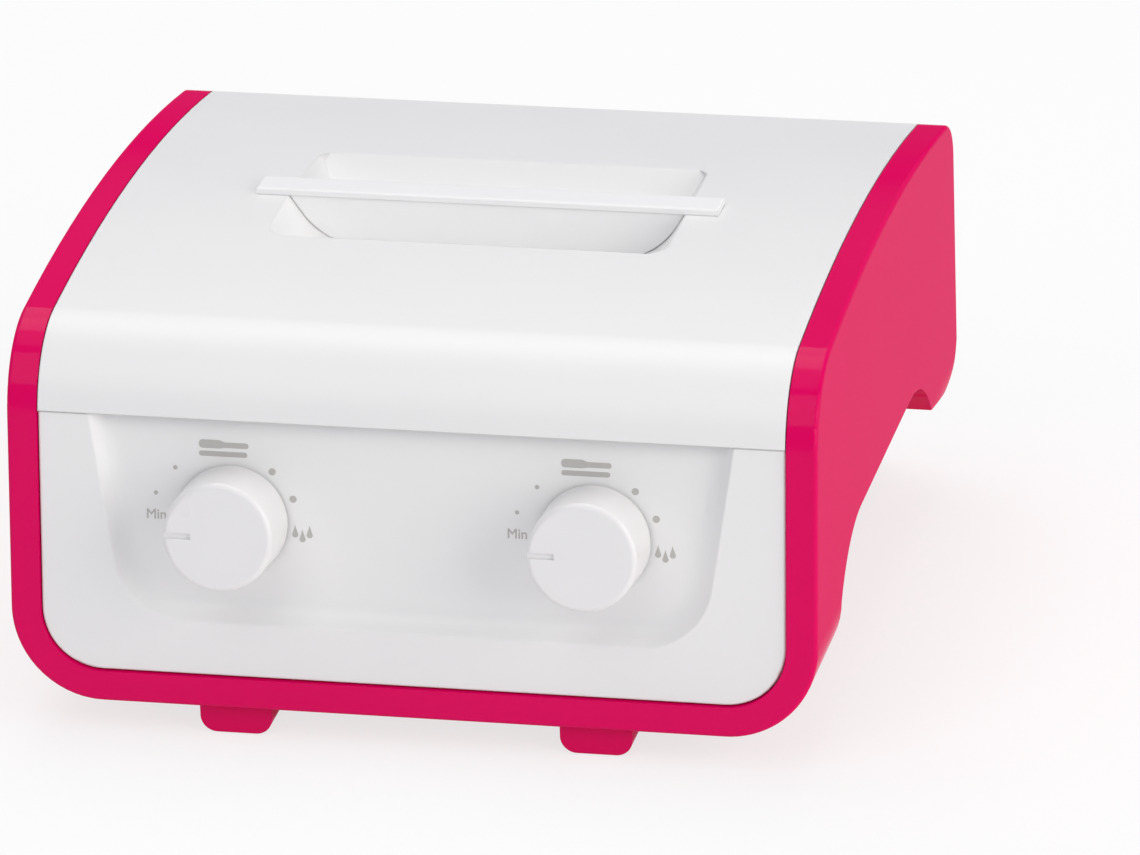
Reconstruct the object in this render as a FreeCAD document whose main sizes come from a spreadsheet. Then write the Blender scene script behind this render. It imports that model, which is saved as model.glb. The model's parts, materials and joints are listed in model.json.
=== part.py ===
# Twin wax heater: two lift-out pots in heated wells, in a moulded casing with a lift-off lid.
# Millimetres, +Z up, the front faces -Y, the origin is the middle of the base on the table.
import FreeCAD, Part
import math
import os
import re
import Sketcher

doc = FreeCAD.newDocument("wax_heater")

# Driving dimensions. Heights named _height or _low are above the table unless they belong to a
# form that is drawn from the casing's front bottom edge, as the profile, dials and dish are.
SIZES = {
    # moulded casing: side profile and section
    "casing_width": 290, "casing_depth": 284, "casing_wall": 3, "rim_width": 11,
    "corner_radius": 33, "edge_round": 1.5, "front_lean": 6.5, "brow_radius": 33,
    "crown_radius": 790, "crown_rise": 138.5, "crown_shift": 4, "back_radius": 16,
    # hand-hold arches in the sides, with the rear lobe that hangs behind each
    "arch_front": 50, "arch_rise": 52.5, "arch_flat_front": 90, "arch_flat_rear": 96,
    "arch_front_radius": 50, "arch_rear_radius": 50, "hold_depth": 28, "lobe_length": 58,
    "lobe_rise": 32, "lobe_slope": 11.3, "lobe_round": 22, "lobe_over": 0.5,
    # feet and pads
    "foot_height": 12, "foot_width": 26, "foot_length": 22, "foot_side": 80, "foot_inset": 5,
    "foot_round": 6, "pad_diameter": 14, "pad_proud": 0.6, "pad_sunk": 1.5,
    # front and rear panels
    "panel_wall": 3, "panel_set_back": 0.8, "panel_gap": 0.3, "seam_height": 117,
    "lip_width": 4, "lip_thick": 2, "lip_gap": 0.2, "lip_drop": 14,
    "dish_depth": 5, "dish_slope": 45, "dish_side_top": 29.5, "dish_side_low": 41, "dish_low": 31,
    "dish_corner": 26, "dish_fillet": 10, "dish_edge": 0.8, "vent_width": 3, "vent_length": 34,
    "vent_pitch": 8, "vent_low": 60, "vent_row": 48, "vent_side": 55,
    # dials
    "dial_side": 80, "dial_rise": 68, "knob_base": 40.2, "knob_face": 39.4, "knob_height": 22,
    "knob_gap": 1.2, "knob_edge": 2, "knob_wall": 2, "hub_diameter": 11, "hub_clear": 1,
    "pointer_width": 2.2, "pointer_length": 10, "pointer_depth": 0.8, "shaft_diameter": 6,
    "shaft_flat": 1, "shaft_fit": 0.06, "shaft_out": 18, "shaft_in": 10, "bush_diameter": 9.6,
    "bush_out": 6.5, "bush_gap": 0.2, "nut_across": 14, "nut_thick": 2.5,
    "thermostat_width": 36, "thermostat_height": 32, "thermostat_depth": 22,
    "blade_width": 6.3, "blade_thick": 0.8, "blade_length": 8, "blade_spread": 24,
    # wells, pots and heaters
    "well_apart": 6, "well_side_gap": 1, "well_shift": 8, "well_lip": 6, "well_wall": 1.2,
    "well_low": 38, "well_gap": 0.4, "well_round": 6, "pot_gap": 0.6, "pot_wall": 1,
    "pot_floor_gap": 1.5, "pot_lip": 5, "pot_rim_thick": 1.5, "pot_seat_gap": 0.2,
    "lug_width": 26, "lug_out": 8, "band_gap": 0.2, "band_thick": 3, "band_clear": 18.8,
    "band_low": 55, "band_slot": 16, "ear_reach": 9, "ear_thick": 2, "ear_height": 12,
    "ear_screw": 3, "ear_head": 6, "ear_head_height": 2.2, "ear_screw_over": 4,
    "bulb_diameter": 6, "bulb_gap": 0.2, "bulb_length": 44, "capillary_diameter": 2,
    "capillary_bend": 6, "capillary_low": 30, "capillary_slack": 3, "lead_diameter": 2.4,
    "lead_bend": 5, "lead_run": 12, "cutout_diameter": 16, "cutout_height": 8,
    # deck and its fixings
    "deck_thick": 3, "deck_side_gap": 0.5, "deck_end_gap": 0.4, "lid_rest_gap": 0.2,
    "post_diameter": 10, "post_side": 39, "post_front": 35, "post_rear": 29,
    "screw_shank": 3.6, "screw_gap": 0.1, "screw_head": 7.5, "screw_head_height": 2.2,
    "screw_reach": 12,
    # supply entry
    "block_length": 44, "block_width": 18, "block_height": 16, "block_rear": 39,
    "gland_side": 50, "gland_height": 42, "gland_neck": 12, "gland_flange": 18,
    "gland_flange_thick": 3, "gland_tail": 6, "gland_bore": 7.4, "gland_gap": 0.1,
    # lid
    "lid_gap": 0.4, "lid_wall": 2.8, "scoop_length": 146, "scoop_width": 88, "scoop_depth": 18,
    "scoop_wall": 2.5, "scoop_end_slope": 33, "scoop_end_round": 28, "scoop_corner": 14,
    "scoop_ease": 1, "scoop_shift": 7, "bar_beyond": 5, "bar_width": 12.5, "bar_thick": 2.4,
    "bar_edge": 0.8, "web_thick": 3, "web_set": 0.8, "web_gap": 0.3, "pin_beyond": 7,
    "pin_diameter": 4, "pin_gap": 0.1, "pin_over": 3, "push_nut": 9, "push_nut_thick": 1,
    "push_nut_gap": 0.25,
}

sheet = doc.addObject("Spreadsheet::Sheet", "sizes")
for row, (alias, value) in enumerate(SIZES.items(), start=1):
    sheet.set(f"A{row}", str(value))
    sheet.setAlias(f"A{row}", alias)
doc.recompute()

ALIAS = re.compile(r"\b(" + "|".join(SIZES) + r")\b")

# How far the knob faces stand in front of the casing's front bottom edge, and from that the
# place of the origin behind that edge, half way along the whole depth.
KNOB_PROUD = "(knob_height + knob_gap - dish_depth - panel_set_back)"
KNOB_REACH = (f"(({KNOB_PROUD} - knob_edge) * cos(front_lean) + knob_edge"
              " + (knob_face / 2 - knob_edge - dial_rise) * sin(front_lean))")
ORIGIN = f"((casing_depth - {KNOB_REACH}) / 2)"
DECK_TOP = "(seam_height - lid_rest_gap)"
CROWN = "(foot_height + crown_rise)"

# Places and sizes that follow from others. The two wells fill the width between the linings of
# the hand holds, and the rest keeps its distance from the casing's sides and ends.
WELL_FLANGE = "(casing_width / 2 - hold_depth - casing_wall - well_side_gap - well_apart / 2)"
WELL_BORE = f"({WELL_FLANGE} - 2 * well_lip)"
WELL_SPREAD = f"({WELL_FLANGE} + well_apart)"
WELL_BACK = "(casing_depth / 2 + well_shift)"
POT_RIM = f"({WELL_BORE} + 2 * pot_lip)"
DIAL_SPREAD = "(casing_width - 2 * dial_side)"
POST_SPREAD = "(casing_width - 2 * post_side)"
SCOOP_BACK = "(casing_depth / 2 + scoop_shift)"
CROWN_BACK = "(casing_depth / 2 - crown_shift)"
BAND_WIDTH = f"({DECK_TOP} - deck_thick - band_clear - band_low)"
BLOCK_BACK = "(casing_depth - block_rear)"
GLAND_AT = "(casing_width / 2 - gland_side)"


def expr(text):
    """Write an expression in plain size names as one that reads the sheet."""
    return ALIAS.sub(r"sizes.\1", text)


def size(text):
    """Value of an expression in plain size names."""
    return float(sheet.evalExpression(expr(text)))


def bind(item, **properties):
    """Tie properties of an object to expressions in plain size names."""
    for name, text in properties.items():
        item.setExpression(name, expr(text))


def put(item, x="0", y="0", z="0"):
    """Place an object; y is counted back from the casing's front bottom edge."""
    item.setExpression("Placement.Base.x", expr(x))
    item.setExpression("Placement.Base.y", expr(f"({y}) - {ORIGIN}"))
    item.setExpression("Placement.Base.z", expr(z))
    return item


def turn(item, axis, text):
    """Turn an object about one of its own axes by an angle in degrees."""
    item.Placement = FreeCAD.Placement(FreeCAD.Vector(), FreeCAD.Rotation(axis, 1))
    item.setExpression("Placement.Rotation.Angle", expr(text))
    return item


def solid(kind, name, **properties):
    """A Part primitive whose sizes follow the sheet."""
    item = doc.addObject("Part::" + kind, name)
    bind(item, **properties)
    return item


def cut(name, base, *tools):
    """Take tools away from a solid one after another."""
    for number, tool in enumerate(tools, start=1):
        step = doc.addObject("Part::Cut", f"{name}_cut{number}")
        step.Base = base
        step.Tool = tool
        base = step
    return base


def fuse(name, *items):
    """Join solids into one."""
    joined = doc.addObject("Part::MultiFuse", name)
    joined.Shapes = list(items)
    return joined


def common(name, *items):
    """What solids have in common."""
    shared = doc.addObject("Part::MultiCommon", name)
    shared.Shapes = list(items)
    return shared


def mirror(name, item):
    """The same solid on the other side of the middle plane."""
    twin = doc.addObject("Part::Mirroring", name)
    twin.Source = item
    twin.Normal = FreeCAD.Vector(1, 0, 0)
    return twin


def group(name, *items):
    """Like pieces that share one node, as separate solids."""
    set_of = doc.addObject("Part::Compound", name)
    set_of.Links = list(items)
    return set_of


nodes = {}


def keep(name, item):
    """Give a finished sub-part its label, which is also its node's name."""
    item.Label = name
    nodes[name] = item
    return item


def new_body(name):
    """An empty PartDesign body."""
    return doc.addObject("PartDesign::Body", name)


def sketch(body, role, name, offset="0"):
    """A sketch on one of the body's own planes, moved along the plane's normal."""
    plane = next(item for item in body.Origin.OriginFeatures if item.Role == role)
    drawing = body.newObject("Sketcher::SketchObject", name)
    drawing.AttachmentSupport = [(plane, "")]
    drawing.MapMode = "FlatFace"
    drawing.setExpression("AttachmentOffset.Base.z", expr(offset))
    return drawing


def dimension(drawing, kind, *where, text):
    """Add a dimension that follows the sheet."""
    number = drawing.addConstraint(Sketcher.Constraint(kind, *where, size(text)))
    drawing.setExpression(f"Constraints[{number}]", expr(text))


def locate(drawing, item, end, across, up):
    """Tie a point of the sketch to its two coordinates."""
    dimension(drawing, "DistanceX", -1, 1, item, end, text=across)
    dimension(drawing, "DistanceY", -1, 1, item, end, text=up)


def arc(centre, radius, start, end):
    """Circular arc from one point to another, counter-clockwise."""
    circle = Part.Circle(centre, FreeCAD.Vector(0, 0, 1), radius)
    first, last = (math.atan2(point.y - centre.y, point.x - centre.x) for point in (start, end))
    return Part.ArcOfCircle(circle, first, last)


def outline(drawing, corners):
    """Closed outline through corners: (x, y) is sharp and (x, y, radius) is rounded."""
    points = [FreeCAD.Vector(size(corner[0]), size(corner[1]), 0) for corner in corners]
    count = len(points)
    starts, ends, arcs = [], [], []
    for i, corner in enumerate(corners):
        back = (points[i - 1] - points[i]).normalize()
        ahead = (points[(i + 1) % count] - points[i]).normalize()
        radius = size(corner[2]) if len(corner) > 2 else 0
        half = back.getAngle(ahead) / 2
        trim = radius / math.tan(half)
        ends.append(points[i] + back * trim)
        starts.append(points[i] + ahead * trim)
        if radius:
            middle = points[i] + (back + ahead).normalize() * (radius / math.sin(half))
            left_turn = back.cross(ahead).z < 0
            pair = (ends[i], starts[i]) if left_turn else (starts[i], ends[i])
            arcs.append((i, arc(middle, radius, *pair), left_turn))
    lines = [drawing.addGeometry(Part.LineSegment(starts[i], ends[(i + 1) % count]))
             for i in range(count)]
    rounded = {i: (drawing.addGeometry(curve), left_turn) for i, curve, left_turn in arcs}
    for i, corner in enumerate(corners):
        before, after = lines[i - 1], lines[i]
        if i not in rounded:
            drawing.addConstraint(Sketcher.Constraint("Coincident", before, 2, after, 1))
            locate(drawing, after, 1, corner[0], corner[1])
            continue
        curve, left_turn = rounded[i]
        first, last = (1, 2) if left_turn else (2, 1)
        drawing.addConstraint(Sketcher.Constraint("Tangent", before, 2, curve, first))
        drawing.addConstraint(Sketcher.Constraint("Tangent", curve, last, after, 1))
        dimension(drawing, "Radius", curve, text=corner[2])
        tip = drawing.addGeometry(Part.Point(points[i]), True)
        drawing.addConstraint(Sketcher.Constraint("PointOnObject", tip, 1, before))
        drawing.addConstraint(Sketcher.Constraint("PointOnObject", tip, 1, after))
        locate(drawing, tip, 1, corner[0], corner[1])


def pad(body, drawing, text, symmetric=False, reverse=False):
    """Extrude a sketch."""
    feature = body.newObject("PartDesign::Pad", drawing.Name + "_pad")
    feature.Profile = drawing
    feature.SideType = "Symmetric" if symmetric else "One side"
    feature.Reversed = reverse
    bind(feature, Length=text)
    doc.recompute()
    return feature


def pocket(body, drawing, text, taper=None):
    """Cut a sketch inwards, against the sketch's normal, and check that it cut something."""
    before = body.Shape.Volume
    feature = body.newObject("PartDesign::Pocket", drawing.Name + "_pocket")
    feature.Profile = drawing
    bind(feature, Length=text)
    if taper:
        bind(feature, TaperAngle=taper)
    doc.recompute()
    if body.Shape.Volume > before - 1e-3:
        raise RuntimeError(f"{feature.Name} cuts nothing")
    return feature


def revolve(name, corners):
    """Body of revolution about its own Z, from corners given as (radius, height)."""
    body = new_body(name)
    drawing = sketch(body, "XZ_Plane", name + "_section")
    outline(drawing, corners)
    feature = body.newObject("PartDesign::Revolution", name + "_turned")
    feature.Profile = drawing
    feature.ReferenceAxis = (drawing, ["V_Axis"])
    feature.Angle = 360
    doc.recompute()
    return body


def round_edges(name, item, text, chosen):
    """Fillet the edges of a solid that a test picks out."""
    doc.recompute()
    radius = size(text)
    picked = [(number, radius, radius) for number, edge in enumerate(item.Shape.Edges, start=1)
              if chosen(edge)]
    feature = doc.addObject("Part::Fillet", name)
    feature.Base = item
    feature.Edges = picked
    doc.recompute()
    return feature


def side_form(name, inset):
    """Block with the heater's side profile, its whole outline moved in by inset."""
    body = put(new_body(name), z="foot_height")
    drawing = sketch(body, "YZ_Plane", name + "_profile")
    lean = math.radians(size("front_lean"))
    along = FreeCAD.Vector(math.sin(lean), math.cos(lean), 0)
    inward = FreeCAD.Vector(math.cos(lean), -math.sin(lean), 0)
    gap, depth = size(inset), size("casing_depth")
    crown_r, brow_r, back_r = size("crown_radius"), size("brow_radius"), size("back_radius")
    crown = FreeCAD.Vector(size(CROWN_BACK), size("crown_rise") - crown_r, 0)
    # the brow's centre lies a brow radius behind the front and that much inside the crown's arc
    foot = inward * brow_r - crown
    reach = foot.dot(along)
    climb = math.sqrt(reach ** 2 - foot.Length ** 2 + (crown_r - brow_r) ** 2) - reach
    brow = inward * brow_r + along * climb
    run = depth - back_r - crown.x
    back = FreeCAD.Vector(depth - back_r, crown.y + math.sqrt((crown_r - back_r) ** 2 - run ** 2), 0)
    base = FreeCAD.Vector(gap * (1 + math.sin(lean)) / math.cos(lean), gap, 0)
    front_end = brow - inward * (brow_r - gap)
    brow_end = crown + (brow - crown).normalize() * (crown_r - gap)
    crown_end = crown + (back - crown).normalize() * (crown_r - gap)
    back_end = FreeCAD.Vector(depth - gap, back.y, 0)
    heel = FreeCAD.Vector(depth - gap, gap, 0)
    front = drawing.addGeometry(Part.LineSegment(base, front_end))
    brow_arc = drawing.addGeometry(arc(brow, brow_r - gap, brow_end, front_end))
    crown_arc = drawing.addGeometry(arc(crown, crown_r - gap, crown_end, brow_end))
    back_arc = drawing.addGeometry(arc(back, back_r - gap, back_end, crown_end))
    rear = drawing.addGeometry(Part.LineSegment(back_end, heel))
    floor = drawing.addGeometry(Part.LineSegment(heel, base))
    for first, end, second, start in ((front, 2, brow_arc, 2), (brow_arc, 1, crown_arc, 2),
                                      (crown_arc, 1, back_arc, 2), (back_arc, 1, rear, 1)):
        drawing.addConstraint(Sketcher.Constraint("Tangent", first, end, second, start))
    drawing.addConstraint(Sketcher.Constraint("Coincident", rear, 2, floor, 1))
    drawing.addConstraint(Sketcher.Constraint("Coincident", floor, 2, front, 1))
    drawing.addConstraint(Sketcher.Constraint("Vertical", rear))
    drawing.addConstraint(Sketcher.Constraint("Horizontal", floor))
    start = f"({inset}) * (1 + sin(front_lean)) / cos(front_lean)"
    locate(drawing, front, 1, start, inset)
    # a point on the front line, one brow radius up, sets its lean
    mark = drawing.addGeometry(Part.Point(base + along * (brow_r / along.y)), True)
    drawing.addConstraint(Sketcher.Constraint("PointOnObject", mark, 1, front))
    locate(drawing, mark, 1, f"{start} + brow_radius * tan(front_lean)", f"{inset} + brow_radius")
    for curve, radius in ((brow_arc, "brow_radius"), (crown_arc, "crown_radius"),
                          (back_arc, "back_radius")):
        dimension(drawing, "Radius", curve, text=f"{radius} - ({inset})")
    locate(drawing, crown_arc, 3, CROWN_BACK, "crown_rise - crown_radius")
    dimension(drawing, "DistanceX", -1, 1, rear, 2, text=f"casing_depth - ({inset})")
    pad(body, drawing, "2 * casing_width", symmetric=True)
    return body


def front_form(name, inset):
    """Block with the casing's front outline, round at the bottom corners, moved in by inset."""
    body = put(new_body(name), z="foot_height")
    drawing = sketch(body, "XZ_Plane", name + "_outline")
    half, top = f"casing_width / 2 - ({inset})", "crown_rise + back_radius"
    radius = f"corner_radius - ({inset})"
    outline(drawing, [(f"-({half})", top), (f"-({half})", inset, radius), (half, inset, radius),
                      (half, top)])
    pad(body, drawing, "4 * casing_depth", symmetric=True)
    return body


def arch_form(name, grow):
    """The right hand-hold's space: an arch in the side that runs out behind under a rounded lobe.

    All its walls are moved out by grow.
    """
    body = put(new_body(name), x=f"casing_width / 2 - hold_depth - ({grow})", z="foot_height")
    drawing = sketch(body, "YZ_Plane", name + "_outline")
    more, slope = size(grow), math.radians(size("lobe_slope"))
    low, top = -size("foot_height"), size("arch_rise") + more
    front, past = size("arch_front") - more, size("casing_depth + hold_depth")
    flats = [size("arch_flat_front"), size("casing_depth - arch_flat_rear")]
    radii = [size("arch_front_radius") + more, size("arch_rear_radius") + more]
    centres = [FreeCAD.Vector(y, top - r, 0) for y, r in zip(flats, radii)]
    tops = [FreeCAD.Vector(y, top, 0) for y in flats]
    spring = FreeCAD.Vector(front, centres[0].y + math.sqrt(radii[0] ** 2 - (front - flats[0]) ** 2), 0)
    # the lobe's underside is a sloping line that ends in a round up to the casing's rear
    normal = FreeCAD.Vector(math.sin(slope), math.cos(slope), 0)
    along = FreeCAD.Vector(math.cos(slope), -math.sin(slope), 0)
    under = FreeCAD.Vector(size("casing_depth - lobe_length"), size("lobe_rise"), 0) + normal * more
    offset = under - centres[1]
    ahead = offset.dot(along)
    tip = under + along * (math.sqrt(ahead ** 2 - offset.Length ** 2 + radii[1] ** 2) - ahead)
    rear, turn_r = size("casing_depth + lobe_over") - more, size("lobe_round") - more
    middle_y = rear - turn_r
    middle = FreeCAD.Vector(
        middle_y, (turn_r + under.dot(normal) - middle_y * normal.x) / normal.y, 0)
    lobe_end = middle - normal * turn_r
    rise_at = FreeCAD.Vector(rear, middle.y, 0)
    crest = size("arch_rise + lobe_round")
    path = [FreeCAD.Vector(front, low, 0), spring]
    rise = drawing.addGeometry(Part.LineSegment(*path))
    front_arc = drawing.addGeometry(arc(centres[0], radii[0], tops[0], spring))
    roof = drawing.addGeometry(Part.LineSegment(*tops))
    rear_arc = drawing.addGeometry(arc(centres[1], radii[1], tip, tops[1]))
    lobe = drawing.addGeometry(Part.LineSegment(tip, lobe_end))
    lobe_arc = drawing.addGeometry(arc(middle, turn_r, lobe_end, rise_at))
    corners = [FreeCAD.Vector(rear, crest, 0), FreeCAD.Vector(past, crest, 0),
               FreeCAD.Vector(past, low, 0)]
    heel = drawing.addGeometry(Part.LineSegment(rise_at, corners[0]))
    over = drawing.addGeometry(Part.LineSegment(corners[0], corners[1]))
    fall = drawing.addGeometry(Part.LineSegment(corners[1], corners[2]))
    sill = drawing.addGeometry(Part.LineSegment(corners[2], path[0]))
    for first, end, second, start in ((rise, 2, front_arc, 2), (rear_arc, 1, lobe, 1),
                                      (heel, 2, over, 1), (over, 2, fall, 1), (fall, 2, sill, 1),
                                      (sill, 2, rise, 1)):
        drawing.addConstraint(Sketcher.Constraint("Coincident", first, end, second, start))
    for first, end, second, start in ((front_arc, 1, roof, 1), (roof, 2, rear_arc, 2),
                                      (lobe, 2, lobe_arc, 1), (lobe_arc, 2, heel, 1)):
        drawing.addConstraint(Sketcher.Constraint("Tangent", first, end, second, start))
    for line in (rise, heel, fall):
        drawing.addConstraint(Sketcher.Constraint("Vertical", line))
    for line in (roof, over, sill):
        drawing.addConstraint(Sketcher.Constraint("Horizontal", line))
    locate(drawing, rise, 1, f"arch_front - ({grow})", "-foot_height")
    dimension(drawing, "DistanceY", -1, 1, roof, 1, text=f"arch_rise + ({grow})")
    for curve, radius, flat in ((front_arc, "arch_front_radius", "arch_flat_front"),
                                (rear_arc, "arch_rear_radius", "casing_depth - arch_flat_rear")):
        dimension(drawing, "Radius", curve, text=f"{radius} + ({grow})")
        dimension(drawing, "DistanceX", -1, 1, curve, 3, text=flat)
    # two points of the lobe's line place it: one at its start and one a lobe's length behind
    for step in (0, 1):
        mark = drawing.addGeometry(Part.Point(under + along * (step * 10)), True)
        drawing.addConstraint(Sketcher.Constraint("PointOnObject", mark, 1, lobe))
        locate(drawing, mark, 1,
               f"casing_depth - lobe_length + ({grow}) * sin(lobe_slope) + {step * 10} * cos(lobe_slope)",
               f"lobe_rise + ({grow}) * cos(lobe_slope) - {step * 10} * sin(lobe_slope)")
    dimension(drawing, "Radius", lobe_arc, text=f"lobe_round - ({grow})")
    dimension(drawing, "DistanceX", -1, 1, heel, 2, text=f"casing_depth + lobe_over - ({grow})")
    dimension(drawing, "DistanceY", -1, 1, heel, 2, text="arch_rise + lobe_round")
    dimension(drawing, "DistanceX", -1, 1, fall, 1, text="casing_depth + hold_depth")
    pad(body, drawing, f"2 * hold_depth + ({grow})")
    return body


def cylinder(name, diameter, height, x="0", y="0", z="0"):
    """Upright cylinder standing at a point."""
    return put(solid("Cylinder", name, Radius=f"({diameter}) / 2", Height=height), x, y, z)


def box(name, length, width, height, x="0", y="0", z="0"):
    """Box centred on a point in plan and standing at a height."""
    item = solid("Box", name, Length=length, Width=width, Height=height)
    return put(item, f"({x}) - ({length}) / 2", f"({y}) - ({width}) / 2", z)


SIDES = (("left", -1), ("right", 1))

# Outer casing: one glossy moulding, a U of two sides and a floor with a return flange round its
# front, top and rear edges. The hand holds are arched pockets with their own thin lining.
side_block = side_form("casing_side", "0")
front_block = front_form("casing_front", "0")
block = common("casing_block", side_block, front_block)
half_width = size("casing_width / 2")
rounded_block = round_edges(
    "casing_rounded", block, "edge_round",
    lambda edge: all(abs(abs(v.X) - half_width) < 1e-4 for v in edge.Vertexes)
    and abs(abs(edge.CenterOfMass.x) - half_width) < 1e-4
    and edge.BoundBox.ZMax > size("foot_height + corner_radius") + 1)
cavity = common("casing_cavity", side_form("cavity_side", "casing_wall"),
                front_form("cavity_front", "casing_wall"))
mouth = front_form("casing_mouth", "rim_width")
shell = cut("casing_shell", rounded_block, cavity, mouth)
lining = common("hold_lining", arch_form("lining_arch", "casing_wall"), cavity)
feet, pads, pad_seats = [], [], []
for end, place in (("front", "foot_inset + foot_length / 2"),
                   ("rear", "casing_depth - foot_inset - foot_length / 2")):
    for side, sign in SIDES:
        name, across = f"{end}_{side}", f"{sign} * (casing_width / 2 - foot_side)"
        foot = put(new_body(f"foot_{name}"), across, place)
        drawing = sketch(foot, "XZ_Plane", f"foot_outline_{name}")
        crest = "foot_height + casing_wall / 2"
        outline(drawing, [("-foot_width / 2", crest), ("-foot_width / 2", "pad_proud", "foot_round"),
                          ("foot_width / 2", "pad_proud", "foot_round"), ("foot_width / 2", crest)])
        pad(foot, drawing, "foot_length", symmetric=True)
        feet.append(foot)
        pad_seats.append(cylinder(f"pad_seat_{name}", "pad_diameter", "pad_sunk", across, place,
                                  "pad_proud"))
        pads.append(cylinder(f"pad_{name}", "pad_diameter", "pad_proud + pad_sunk", across, place))
posts, pilots, floor_holes, screws = [], [], [], []
for place, end in (("front", "post_front"), ("rear", "casing_depth - post_rear")):
    for side, sign in SIDES:
        name, across = f"post_{place}_{side}", f"{sign} * {POST_SPREAD} / 2"
        floor_top = "(foot_height + casing_wall)"
        posts.append(cylinder(name, "post_diameter", f"{DECK_TOP} - deck_thick / 2 - {floor_top}",
                              across, end, floor_top))
        hole = "screw_shank + 2 * screw_gap"
        pilots.append(cylinder(f"pilot_{name}", hole, "screw_reach", across, end, floor_top))
        floor_holes.append(cylinder(f"floor_hole_{name}", hole, "3 * casing_wall", across, end,
                                    "foot_height - casing_wall"))
        shank = cylinder(f"shank_{name}", "screw_shank", "casing_wall + screw_reach - 1", across,
                         end, "foot_height")
        head = cylinder(f"head_{name}", "screw_head", "screw_head_height", across, end,
                        "foot_height - screw_head_height")
        screws.append(fuse(f"screw_{name}", shank, head))
arch = arch_form("hold_arch", "0")
casing = fuse("casing_whole", shell, lining, mirror("hold_lining_left", lining), *feet)
keep("outer_casing", cut("casing", casing, arch, mirror("hold_arch_left", arch), *pad_seats,
                         *floor_holes))
keep("foot_pads", group("pad_set", *pads))
keep("base_screws", group("screw_set", *screws))

# Front panel: white moulding between the pink flanges, leaning with the casing's front, with a
# lip behind the flanges and a shallow dish round the dials that runs out under the lid.
PANEL_HALF = "casing_width / 2 - rim_width - panel_gap"
# the leaning panel's rear edge drops below its front edge, so its bottom is raised to clear the rim
PANEL_LOW = ("((rim_width + panel_gap + (panel_set_back + panel_wall) * sin(front_lean))"
             " / cos(front_lean))")
PANEL_TOP = "((seam_height - panel_gap - foot_height) / cos(front_lean))"
PANEL_CORNER = "corner_radius - rim_width - panel_gap"


def dish_corners(top):
    """Dish outline up to a height, its sides spreading towards the lid."""
    spread = f"(dish_side_low - dish_side_top) * ({top} - dish_low) / ({PANEL_TOP} - dish_low)"
    slim = "(casing_width / 2 - dish_side_low)"
    wide = f"({slim} + {spread})"
    return [(f"-{wide}", top), (f"-{slim}", "dish_low", "dish_corner"),
            (slim, "dish_low", "dish_corner"), (wide, top)]


front_panel = put(turn(new_body("front_panel_body"), FreeCAD.Vector(1, 0, 0), "-front_lean"),
                  z="foot_height")
face = sketch(front_panel, "XZ_Plane", "panel_face", "-panel_set_back")
outline(face, [(f"-({PANEL_HALF})", PANEL_TOP), (f"-({PANEL_HALF})", PANEL_LOW, PANEL_CORNER),
               (PANEL_HALF, PANEL_LOW, PANEL_CORNER), (PANEL_HALF, PANEL_TOP)])
pad(front_panel, face, "panel_wall", reverse=True)
LIP_HALF = f"({PANEL_HALF} + lip_width)"
LIP_LOW = f"({PANEL_LOW} - lip_width)"
LIP_CORNER = f"({PANEL_CORNER} + lip_width)"
lip = sketch(front_panel, "XZ_Plane", "panel_lip", "-casing_wall - lip_gap")
LIP_TOP = f"({PANEL_TOP} - lip_drop)"
outline(lip, [(f"-{LIP_HALF}", LIP_TOP), (f"-{LIP_HALF}", LIP_LOW, LIP_CORNER),
              (LIP_HALF, LIP_LOW, LIP_CORNER), (LIP_HALF, LIP_TOP)])
pad(front_panel, lip, "lip_thick", reverse=True)
backing = sketch(front_panel, "XZ_Plane", "dish_back", "-panel_set_back - panel_wall")
outline(backing, dish_corners(PANEL_TOP))
pad(front_panel, backing, "dish_depth", reverse=True)
dish = sketch(front_panel, "XZ_Plane", "dish", "-panel_set_back")
outline(dish, dish_corners(f"({PANEL_TOP} + 2 * dish_depth)"))
dish_cut = pocket(front_panel, dish, "dish_depth", taper="-dish_slope")


def panel_edges(depth, inside):
    """Names of the panel's edges that lie at a depth behind its front plane and inside a half width."""
    level = size(depth)
    return [f"Edge{number}" for number, edge in enumerate(dish_cut.Shape.Edges, start=1)
            if all(abs(vertex.Y - level) < 1e-3 for vertex in edge.Vertexes)
            and max(abs(vertex.X) for vertex in edge.Vertexes) < size(inside)
            and edge.CenterOfMass.z < size(PANEL_TOP) - 0.01]


for name, radius, depth in (("dish_soft_floor", "dish_fillet", "panel_set_back + dish_depth"),
                            ("dish_soft_edge", "dish_edge", "panel_set_back")):
    soft = front_panel.newObject("PartDesign::Fillet", name)
    soft.Base = (dish_cut, panel_edges(depth, f"{PANEL_HALF} - 1"))
    bind(soft, Radius=radius)
    doc.recompute()
    dish_cut = soft
bush_holes = sketch(front_panel, "XZ_Plane", "bush_holes", "-panel_set_back")
for side, sign in SIDES:
    ring = bush_holes.addGeometry(Part.Circle(
        FreeCAD.Vector(sign * size(f"{DIAL_SPREAD} / 2"), size("dial_rise"), 0),
        FreeCAD.Vector(0, 0, 1), size("bush_diameter / 2 + bush_gap")))
    locate(bush_holes, ring, 3, f"{sign} * {DIAL_SPREAD} / 2", "dial_rise")
    dimension(bush_holes, "Radius", ring, text="bush_diameter / 2 + bush_gap")
pocket(front_panel, bush_holes, "2 * (dish_depth + panel_wall)")
keep("front_panel", front_panel)

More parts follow.
